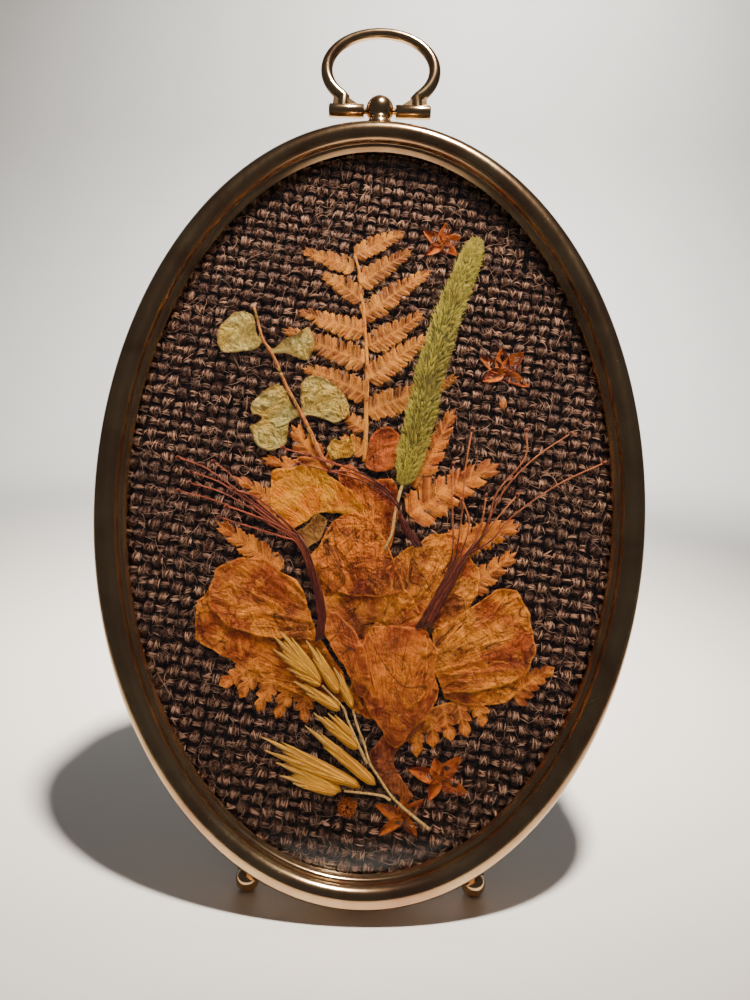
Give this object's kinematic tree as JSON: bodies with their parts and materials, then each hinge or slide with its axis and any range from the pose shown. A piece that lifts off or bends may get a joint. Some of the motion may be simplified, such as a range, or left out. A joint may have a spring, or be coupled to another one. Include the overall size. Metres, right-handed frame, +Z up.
{
  "type": "pressed flower frame",
  "caption": "Small oval brass standing frame with domed glass over pressed flowers, ferns and grasses on brown burlap, with an easel strut and a bail ring.",
  "frame": {"origin": "centre of the base of the bounding box, on the ground that the ball feet and the strut stand on", "axes": "+Z up, +X to the right as seen from the front; the framed front faces -Y and leans back by 19 degrees"},
  "size_m": [0.1114, 0.0722, 0.1783],
  "materials": {
    "aged_brass": "aged, darkened, half gloss",
    "hinge_steel": "dull",
    "clear_glass": "polished",
    "burlap_brown": "matte plain weave",
    "grey_card": "matte",
    "black_backing": "matte",
    "gold_fern": "matte",
    "rust_fern": "matte",
    "gold_petal": "papery",
    "rust_petal": "papery",
    "plum_petal": "papery",
    "red_petal": "papery",
    "yellow_petal": "papery",
    "olive_leaf": "papery",
    "pale_green_leaflet": "papery",
    "grass_green": "matte",
    "dark_filament": "matte",
    "straw": "papery",
    "cream_flower": "papery",
    "dark_seed": "matte"
  },
  "bodies": {
    "frame": {"back_board": "black_backing", "ball_stud": "aged_brass", "bezel": "aged_brass", "burlap": "burlap_brown", "calyx_stem": "red_petal", "convex_glass": "clear_glass", "fern_behind_spike": "rust_fern", "fern_frond": "gold_fern", "fern_left": "rust_fern", "fern_left_middle": "rust_fern", "fern_left_upper": "rust_fern", "fern_lower_left": "rust_fern", "fern_lower_right": "rust_fern", "fern_middle_right": "rust_fern", "fern_right": "rust_fern", "fern_right_low": "rust_fern", "fern_upper_left": "rust_fern", "flower_bud": "cream_flower", "folded_leaf": "olive_leaf", "foot_left": "aged_brass", "foot_right": "aged_brass", "grass_spike": "grass_green", "hinge_leaf": "hinge_steel", "hinge_pin": "hinge_steel", "leaflet_twig": "pale_green_leaflet", "mount_card": "grey_card", "oat_panicle": "straw", "petal_behind": "gold_petal", "petal_centre": "gold_petal", "petal_centre_left": "rust_petal", "petal_left_lower": "gold_petal", "petal_left_upper": "gold_petal", "petal_middle": "rust_petal", "petal_red": "red_petal", "petal_right": "plum_petal", "petal_right_lower": "rust_petal", "petal_right_upper": "rust_petal", "petal_top_gold": "gold_petal", "petal_under": "rust_petal", "petal_yellow": "yellow_petal", "small_seed": "dark_seed", "stamens_left": "dark_filament", "stamens_middle": "dark_filament", "stamens_right": "dark_filament", "star_flower_left": "cream_flower", "star_flower_low": "cream_flower", "star_flower_side": "cream_flower", "star_flower_top": "cream_flower"},
    "strut": {"easel_strut": "black_backing", "strut_leaf": "hinge_steel"},
    "ring": {"bail_ring": "aged_brass"}
  },
  "joints": [
    {"name": "strut_hinge", "type": "hinge", "parent": "frame", "child": "strut", "pos_m": [0, 0.00985, 0.1005], "axis": [-1, 0, 0], "range_deg": [0, 32.5]},
    {"name": "ring_hinge", "type": "hinge", "parent": "frame", "child": "ring", "pos_m": [0, 0.02302, 0.159], "axis": [1, 0, 0], "range_deg": [-85, 85]}
  ]
}
